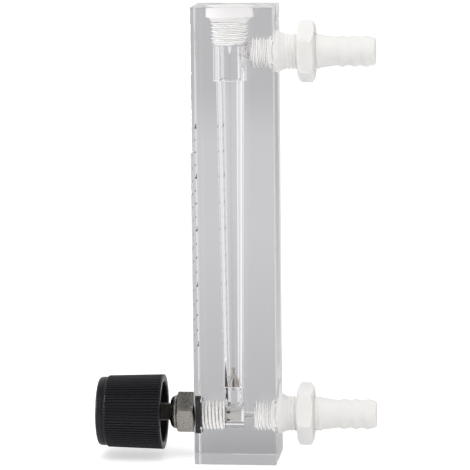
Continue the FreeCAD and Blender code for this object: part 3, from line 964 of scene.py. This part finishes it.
# %% Lathe the cup
knob_low, knob_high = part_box("knob")
knob_front = knob_low.y / mm
knob_rear = knob_high.y / mm
rear_r = (knob_high.x - knob_low.x) / 2 / mm
draft = 0.45
front_r = rear_r - draft
ridge_h = 0.38
wall_inner_r = rear_r - 1.85
hub_r = 4.2
hub_hole_r = 3.3
hub_end_y = knob_front + 11.8
cup_floor_y = knob_front + 4.0
disc_seat_y = knob_front + 2.0
disc_seat_r = 7.8
section = [
    (hub_hole_r, disc_seat_y),
    (disc_seat_r, disc_seat_y),
    (disc_seat_r, knob_front),
    (front_r - ridge_h - 0.1, knob_front),
    (front_r - ridge_h, knob_front + 0.3),
    (rear_r - ridge_h, knob_rear - 0.6),
    (rear_r, knob_rear - 0.45),
    (rear_r, knob_rear),
    (wall_inner_r + 0.2, knob_rear),
    (wall_inner_r, knob_rear - 0.3),
    (wall_inner_r - 0.3, cup_floor_y + 0.4),
    (wall_inner_r - 0.7, cup_floor_y),
    (hub_r, cup_floor_y),
    (hub_r, hub_end_y),
    (hub_hole_r, hub_end_y),
]
cup = lathe("cup", closed(section), steps=156)
round_edges(cup, 0.16, segments=3)
print("cup from y %.2f to %.2f mm" % (knob_front, knob_rear))

# %% Shape one ridge and spin it round
ridge_count = 78
ridge_start = knob_front + 0.25
ridge_end = knob_rear - 0.4
ridge_mid = (ridge_start + ridge_end) / 2 * mm
ridge_depth = ridge_h + 0.3
ridge_slope = 0.6
crest_share = 0.34
root_w = 2 * math.pi * rear_r / ridge_count
ridge = cuboid(
    "ridge",
    inlet_axis + Vector(((rear_r - ridge_depth / 2) * mm, ridge_mid, 0)),
    (ridge_depth * mm, (ridge_end - ridge_start) * mm, root_w * mm),
)


def select_vertices(piece, test):
    """In edit mode, select only the vertices whose place passes a test."""
    bpy.ops.object.mode_set(mode="EDIT")
    bpy.ops.mesh.select_mode(type="VERT")
    bpy.ops.mesh.select_all(action="DESELECT")
    bpy.ops.object.mode_set(mode="OBJECT")
    for vertex in piece.data.vertices:
        vertex.select = test(vertex.co)
    bpy.ops.object.mode_set(mode="EDIT")


crest_x = (rear_r - ridge_h / 2) * mm
select_vertices(ridge, lambda co: co.x > crest_x)
bpy.ops.transform.resize(value=(1, 1, crest_share), center_override=inlet_axis)
select_vertices(ridge, lambda co: co.y < ridge_mid)
bpy.ops.transform.translate(value=(-draft * mm, 0, 0))
select_vertices(ridge, lambda co: co.x > crest_x - draft * mm and co.y < ridge_mid)
bpy.ops.transform.translate(value=(0, ridge_slope * mm, 0))
bpy.ops.object.mode_set(mode="OBJECT")
round_edges(ridge, 0.05, sharper_than=20)
edit_all()
bpy.ops.mesh.spin(steps=ridge_count, angle=2 * math.pi, center=inlet_axis, axis=(0, 1, 0), dupli=True)
close_up(0.0002)
grip = join([cup, ridge], "knurled_grip")
smooth(grip)
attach(grip, "knob")
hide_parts("knob")
report(grip)

# %% Lathe the smooth front disc
cap_low, cap_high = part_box("knob_cap")
cap_front = cap_low.y / mm
cap_r = (cap_high.x - cap_low.x) / 2 / mm
front_disc = lathe(
    "front_disc",
    [
        (0, cap_front + 0.25),
        (7.2, cap_front + 0.25),
        (7.5, cap_front),
        (cap_r - 0.85, cap_front),
        (cap_r - 0.52, cap_front + 0.08),
        (cap_r - 0.25, cap_front + 0.27),
        (cap_r - 0.08, cap_front + 0.55),
        (cap_r, cap_front + 0.9),
        (cap_r, knob_front),
        (7.75, knob_front),
        (7.75, knob_front + 1.6),
        (0, knob_front + 1.6),
    ],
    steps=128,
)
round_edges(front_disc, 0.08, segments=3)
smooth(front_disc, 40)
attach(front_disc, "knob")
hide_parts("knob_cap")
report(front_disc)

# %% [markdown]
# ## Finishes
# Every finish has some life in it: moulded plastic has a fine grain, plated metal is mottled, acrylic has
# the faint waves of its polish. One node group gives a fine height and a broad mottle from the piece's own
# coordinates, and each material uses it with its own scale and strength.


# %% A shared group for grain and mottle
def fill(node, values):
    """Set a node's inputs from their names and values."""
    for name, value in values.items():
        node.inputs[name].default_value = value


def make_grain_group():
    """Node group: a fine height for bumps, and a broad mottle for colour and roughness."""
    group = bpy.data.node_groups.new("grain_and_mottle", "ShaderNodeTree")
    face = group.interface
    scale_in = face.new_socket("Grain Scale", in_out="INPUT", socket_type="NodeSocketFloat")
    scale_in.default_value = 6000
    mottle_in = face.new_socket("Mottle Scale", in_out="INPUT", socket_type="NodeSocketFloat")
    mottle_in.default_value = 400
    face.new_socket("Height", in_out="OUTPUT", socket_type="NodeSocketFloat")
    face.new_socket("Mottle", in_out="OUTPUT", socket_type="NodeSocketFloat")
    inside = group.nodes
    entry = inside.new("NodeGroupInput")
    leave = inside.new("NodeGroupOutput")
    place = inside.new("ShaderNodeTexCoord")
    for label, scale_name, out_name, detail in (
        ("grain", "Grain Scale", "Height", 3),
        ("mottle", "Mottle Scale", "Mottle", 2),
    ):
        noise = inside.new("ShaderNodeTexNoise")
        noise.label = label
        noise.inputs["Detail"].default_value = detail
        group.links.new(place.outputs["Object"], noise.inputs["Vector"])
        group.links.new(entry.outputs[scale_name], noise.inputs["Scale"])
        group.links.new(noise.outputs["Fac"], leave.inputs[out_name])
    return group


grain_group = make_grain_group()


def finish(name, colour, other_colour, roughness, grain_scale, mottle_scale, bump, bump_mm=0.02, **sockets):
    """A Principled material whose colour and roughness wander between two values, with a fine bump. More
    sockets of the shader are named with _ for a space."""
    material = bpy.data.materials.new(name)
    material.use_nodes = True
    tree = material.node_tree
    shader = tree.nodes["Principled BSDF"]
    grain = tree.nodes.new("ShaderNodeGroup")
    grain.node_tree = grain_group
    fill(grain, {"Grain Scale": grain_scale, "Mottle Scale": mottle_scale})
    mix = tree.nodes.new("ShaderNodeMix")
    mix.data_type = "RGBA"
    fill(mix, {"A": (*colour, 1), "B": (*other_colour, 1)})
    spread = tree.nodes.new("ShaderNodeMapRange")
    fill(spread, {"From Min": 0.3, "From Max": 0.7, "To Min": roughness[0], "To Max": roughness[1]})
    bump_node = tree.nodes.new("ShaderNodeBump")
    fill(bump_node, {"Strength": bump, "Distance": bump_mm * mm})
    links = tree.links
    links.new(grain.outputs["Mottle"], mix.inputs["Factor"])
    links.new(mix.outputs["Result"], shader.inputs["Base Color"])
    links.new(grain.outputs["Mottle"], spread.inputs["Value"])
    links.new(spread.outputs["Result"], shader.inputs["Roughness"])
    links.new(grain.outputs["Height"], bump_node.inputs["Height"])
    links.new(bump_node.outputs["Normal"], shader.inputs["Normal"])
    fill(shader, {socket.replace("_", " "): value for socket, value in sockets.items()})
    return material


print("shared group:", grain_group.name)

# %% [markdown]
# The white parts are natural plastic that lets a little light in. The knob is glossier than the rubber. The
# bonnet's nickel is frosted, the float is polished, and the nose and the knob's bush are brass under a
# dull plating. Two colours and two values of roughness give each its range.

# %% Mix the finishes
white_plastic = finish(
    "natural_white_plastic", (0.9, 0.885, 0.865), (0.87, 0.855, 0.835), (0.38, 0.5), 5000, 500, 0.25,
    Subsurface_Weight=0.45, Subsurface_Radius=(1, 1, 1), Subsurface_Scale=0.9 * mm,
)
black_plastic = finish(
    "black_moulded_plastic", (0.0062, 0.006, 0.009), (0.0105, 0.0102, 0.0145), (0.26, 0.38), 7000, 600,
    0.35, Specular_IOR_Level=0.36,
)
rubber = finish(
    "black_rubber", (0.003, 0.003, 0.004), (0.006, 0.006, 0.008), (0.6, 0.75), 6000, 700, 0.3,
    Specular_IOR_Level=0.08,
)
nickel = finish(
    "frosted_nickel", (0.18, 0.17, 0.155), (0.62, 0.59, 0.54), (0.2, 0.42), 5000, 2800, 0.8, 0.04,
    Metallic=1.0,
)
float_steel = finish(
    "polished_steel", (0.52, 0.485, 0.45), (0.64, 0.605, 0.565), (0.04, 0.1), 9000, 900, 0.1, 0.005,
    Metallic=1.0,
)
dark_steel = finish(
    "blackened_steel", (0.06, 0.056, 0.05), (0.1, 0.094, 0.082), (0.35, 0.5), 8000, 1500, 0.4,
    Metallic=0.6,
)
brass = finish(
    "plated_brass", (0.6, 0.58, 0.55), (0.7, 0.68, 0.65), (0.42, 0.55), 8000, 900, 0.3, Metallic=0.4,
)
ink = finish("scale_ink", (0.012, 0.012, 0.012), (0.02, 0.02, 0.02), (0.5, 0.6), 6000, 900, 0.1, 0.01)
# One white serves the real seat washer and, as painted light, the thread's sleeve and the step rings.
white_seal_and_painted_light = finish("white_seal_and_painted_light", (0.9, 0.885, 0.86), (0.84, 0.825, 0.8), (0.5, 0.6), 5000, 600, 0.2)
print("finishes so far:", len(bpy.data.materials))

# %% [markdown]
# Acrylic bends light less than glass does, with an index of 1.49. Its colour is almost none. The polish
# leaves waves that are too low to see by themselves but that break up straight reflections a little. A tap
# and the drills' tips leave the acrylic dull, so the tapped faces and the bore's steps have a second,
# frosted finish, picked out by where each face lies.

# %% Clear and frosted acrylic
acrylic_index = 1.49
acrylic = finish(
    "clear_acrylic", (0.99, 0.99, 0.995), (0.985, 0.985, 0.99), (0.0, 0.004), 300, 120, 0.03,
    Transmission_Weight=1.0, IOR=acrylic_index,
)
tapped_acrylic = finish(
    "tapped_acrylic", (0.985, 0.985, 0.98), (0.97, 0.97, 0.965), (0.3, 0.45), 3000, 900, 0.4,
    Transmission_Weight=1.0, IOR=acrylic_index,
)
print("acrylic's index:", acrylic_index)


# %% Put each finish on its pieces
def dress(piece, material):
    """Give a piece, new or from CAD, one material."""
    piece.data.materials.clear()
    piece.data.materials.append(material)


for material, pieces in (
    (white_plastic, (plug, inlet_tail, outlet_tail, lower_nut, upper_nut)),
    (black_plastic, (grip, front_disc)),
    (dark_steel, (stem, nodes["knob_screw"], nodes["screw_washer"])),
    (rubber, (rubber_ring, nodes["outer_stem_seal"], nodes["inner_stem_seal"])),
    (brass, (nose, nodes["knob_bush"])),
    (nickel, (bonnet,)),
    (float_steel, (polished_float,)),
    (ink, (scale_print,)),
    # The seat washer's white is its own. On the sleeve and the step rings it is painted light.
    (white_seal_and_painted_light, (nodes["seat_washer"], painted_reflection_sleeve, painted_step_highlights)),
    (acrylic, (block,)),
):
    for piece in pieces:
        dress(piece, material)
    print(material.name, "on", [piece.name for piece in pieces])

# %% Frost the tapped faces and the bore's steps
block.data.materials.append(tapped_acrylic)
frosted_index = 1
half_gap = 0.02


def frost_threads(axis_point, along, low, high, minor_r, major_r):
    """Give the tapped faces round an axis, between two distances in millimetres, the frosted finish."""
    count = 0
    for face in block.data.polygons:
        offset = face.center - axis_point
        distance = (offset.y if along == "Y" else offset.z) / mm
        radius = (offset.xz if along == "Y" else offset.xy).length / mm
        if low < distance < high and minor_r - half_gap < radius < major_r + half_gap:
            face.material_index = frosted_index
            count += 1
    return count


frosted = frost_threads(
    bore_axis, "Z", plug_thread_end_z - 0.5, plug_seat_z, plug_minor_r, plug_major_r + thread_gap
)
frosted += frost_threads(inlet_axis, "Y", ring_pocket_y - 0.2, bonnet_end_y, port_minor_r, tap_major_r)
for axis_point in (inlet_axis, outlet_axis):
    frosted += frost_threads(axis_point, "Y", fitting_end_y, back - 1.4, port_minor_r, tap_major_r)
print("tapped faces:", frosted)
facing_up = 0.6
widest_step_r = 5.5
lowest_step_z, highest_step_z = 15, plug_thread_end_z - 1
stepped = 0
for face in block.data.polygons:
    from_bore = (face.center - bore_axis).xy.length / mm
    near = from_bore < widest_step_r and lowest_step_z < face.center.z / mm < highest_step_z
    if near and abs(face.normal.z) > facing_up:
        face.material_index = frosted_index
        stepped += 1
print("frosted faces on the bore's steps:", stepped)

# %% [markdown]
# ## Floor, surroundings and lights
# The floor and the air around are plain and white to the camera. Clear acrylic shows what lies behind it,
# so rays that pass through it meet a soft grey straight behind and white further round, as in a studio with
# white walls beside a grey backdrop. That is what draws the bore and the threads. The grey darkens for rays
# that head steeply down. That is a painted shadow of the block on the floor, which these rays never meet.
# These rays also come out a trace bluer. Metal and gloss mirror a third set of tones, and what only lights a
# piece is one even grey.

# %% Lay the floor
floor_size = 8
deselect()
bpy.ops.mesh.primitive_plane_add(size=floor_size, location=(0, 0, -0.1 * mm))
floor = bpy.context.object
floor.name = "floor"
floor.visible_transmission = False
floor_paint = bpy.data.materials.new("floor_paint")
floor_paint.use_nodes = True
floor_shader = floor_paint.node_tree.nodes["Principled BSDF"]
fill(floor_shader, {"Base Color": (0.93, 0.93, 0.93, 1), "Roughness": 0.7, "Emission Color": (1, 1, 1, 1)})
floor_path = floor_paint.node_tree.nodes.new("ShaderNodeLightPath")
floor_glow = floor_paint.node_tree.nodes.new("ShaderNodeMath")
floor_glow.operation = "MULTIPLY"
fill(floor_glow, {1: 0.45})
floor_paint.node_tree.links.new(floor_path.outputs["Is Camera Ray"], floor_glow.inputs[0])
floor_paint.node_tree.links.new(floor_glow.outputs["Value"], floor_shader.inputs["Emission Strength"])
floor.data.materials.append(floor_paint)
print("floor: %g m square" % floor_size)

# %% Measure a ray's direction
world = bpy.data.worlds.new("studio")
bpy.context.scene.world = world
world.use_nodes = True
sky = world.node_tree.nodes
sky_links = world.node_tree.links
background = sky["Background"]
path = sky.new("ShaderNodeLightPath")
direction = sky.new("ShaderNodeTexCoord")
split = sky.new("ShaderNodeSeparateXYZ")
sky_links.new(direction.outputs["Generated"], split.inputs[0])


def calculate(operation, first, second):
    """A Math node of the world, whose two inputs are sockets or numbers."""
    node = sky.new("ShaderNodeMath")
    node.operation = operation
    for place, value in enumerate((first, second)):
        if isinstance(value, (int, float)):
            node.inputs[place].default_value = value
        else:
            sky_links.new(value, node.inputs[place])
    return node.outputs[0]


flat_length = calculate(
    "SQRT",
    calculate(
        "ADD",
        calculate("MULTIPLY", split.outputs["X"], split.outputs["X"]),
        calculate("MULTIPLY", split.outputs["Y"], split.outputs["Y"]),
    ),
    0.0,
)
safe_length = calculate("MAXIMUM", flat_length, 0.001)
away = calculate("DIVIDE", calculate("MULTIPLY", split.outputs["X"], -1.0), safe_length)
sideways = calculate("DIVIDE", split.outputs["Y"], safe_length)
upward = split.outputs["Z"]


def ramp(value, from_min, from_max, to_min, to_max, smoothly=True):
    """Map Range node of the world: a change of tone between two values. Its ends may be sockets."""
    node = sky.new("ShaderNodeMapRange")
    node.interpolation_type = "SMOOTHSTEP" if smoothly else "LINEAR"
    sky_links.new(value, node.inputs["Value"])
    for name, end in (("From Min", from_min), ("From Max", from_max), ("To Min", to_min), ("To Max", to_max)):
        if isinstance(end, (int, float)):
            node.inputs[name].default_value = end
        else:
            sky_links.new(end, node.inputs[name])
    return node.outputs["Result"]


print("a ray is measured by away, sideways and upward")

# %% Choose the tones seen through the acrylic, with the block's shadow on the floor painted in
# Tones for rays heading down behind the block. The darkest, for the steepest rays, is a painted shadow of the
# block on the floor, and higher up the grey backdrop fades.
floor_tone_with_painted_shadow = 0.38
for from_min, from_max, tone_beyond, smoothly in (
    (-0.2265, -0.216, 0.49, False),
    (-0.216, -0.15, 0.62, False),
    (-0.12, -0.095, 0.52, True),
    (0.1, 0.2, 0.49, True),
):
    floor_tone_with_painted_shadow = ramp(upward, from_min, from_max, floor_tone_with_painted_shadow, tone_beyond, smoothly)
side_tone = ramp(sideways, -0.3, 0.3, 0.82, 1.0)
behind = ramp(away, 0.6, 0.82, side_tone, floor_tone_with_painted_shadow)
in_front = ramp(sideways, -0.4, -0.16, 0.95, 0.06)
in_front = ramp(sideways, 0.12, 0.4, in_front, 0.5)
wall_tone = ramp(away, -0.25, 0.0, in_front, behind)
squarely_aside = calculate("MULTIPLY", sideways, sideways)
wall_tone = ramp(squarely_aside, 0.95, 0.985, wall_tone, 0.8)
print("tone nodes so far:", len(sky))


# %% Choose the mirrored tones, and each kind of ray's own
ambient = 0.62
through_strength = 1.88


def choose(test, if_true, if_false):
    """Blend of two values by a Light Path output."""
    yes = calculate("MULTIPLY", test, if_true)
    no = calculate("MULTIPLY", calculate("SUBTRACT", 1.0, test), if_false)
    return calculate("ADD", yes, no)


lighting_ray = calculate("GREATER_THAN", path.outputs["Diffuse Depth"], 0.5)
through = choose(lighting_ray, through_strength, wall_tone)
mirrored = ramp(sideways, -0.9, -0.3, 0.9, 0.3)
mirrored = ramp(upward, 0.15, 0.5, mirrored, 0.7)
mirrored = ramp(upward, 0.76, 0.94, mirrored, 0.16)
mirrored = ramp(away, 0.3, 0.8, mirrored, 0.75)
tone = choose(path.outputs["Is Glossy Ray"], mirrored, ambient)
tone = choose(path.outputs["Is Transmission Ray"], through, tone)
tone = choose(path.outputs["Is Camera Ray"], 1.0, tone)
sky_links.new(tone, background.inputs["Strength"])
tint = sky.new("ShaderNodeMix")
tint.data_type = "RGBA"
fill(tint, {"A": (1, 1, 1, 1), "B": (0.98, 0.98, 1, 1)})
sky_links.new(path.outputs["Is Transmission Ray"], tint.inputs["Factor"])
sky_links.new(tint.outputs["Result"], background.inputs["Color"])
print("world nodes:", len(sky))

# %% [markdown]
# Two soft lamps light the meter from above, on the camera's side. A third, the side gleam, stands low in
# front of the knob. It shows only in glossy pieces and lights nothing else, which draws the gloss on the
# knurl without brightening the white parts.


# %% Hang the lamps
def softbox(name, place, aim, size, power, gleams):
    """Square area lamp that faces a point. One that gleams shows only in glossy pieces."""
    deselect()
    bpy.ops.object.light_add(type="AREA", location=place)
    lamp = bpy.context.object
    lamp.name = name
    lamp.data.shape = "SQUARE"
    lamp.data.size = size
    lamp.data.energy = power
    lamp.rotation_euler = (Vector(aim) - Vector(place)).to_track_quat("-Z", "Y").to_euler()
    lamp.visible_glossy = gleams
    lamp.visible_diffuse = not gleams
    lamp.visible_camera = False
    lamp.visible_transmission = False
    print(name, "size %.2f m, %.1f W" % (size, power))


mid_height = (0, 0, 0.06)
softbox("key_lamp", (0.3, -0.1, 0.8), mid_height, 0.5, 2.3, False)
softbox("side_gleam", (-0.12, -0.7, 0.06), (0, -0.03, 0.015), 0.18, 2.4, True)
softbox("fill_lamp", (0.6, 0.5, 0.45), mid_height, 0.6, 1.0, False)

# %% [markdown]
# ## Camera
# A long lens stands about three quarters of a metre away, a little above the meter and a little behind its
# side face. From there the bore, the threads and the knurl all show. The small shift only frames the meter.

# %% Set the camera
down, round_behind, roll = 8.14, 6.2, -0.63
bpy.ops.object.camera_add(location=(0.7451, 0.0816, 0.1765))
camera = bpy.context.object
camera.name = "camera"
facing = Euler((math.radians(90 - down), 0, math.radians(90 + round_behind))).to_matrix()
camera.rotation_euler = (facing @ Matrix.Rotation(math.radians(roll), 3, "Z")).to_euler()
camera.data.sensor_width = 36
camera.data.lens = 212.1
camera.data.shift_x = -0.0085
camera.data.shift_y = -0.0553
camera.data.clip_end = 20
bpy.context.scene.camera = camera
print("camera %.2f m away, %.1f degrees down" % (camera.location.length, down))

# %% [markdown]
# ## Output settings
# Colours leave as they are written. Light needs more bounces than usual to find its way through the block's
# many walls.

scene = bpy.context.scene
scene.view_settings.view_transform = "Standard"
scene.cycles.max_bounces = 24
scene.cycles.transmission_bounces = 24
scene.cycles.glossy_bounces = 12
bpy.context.view_layer.update()
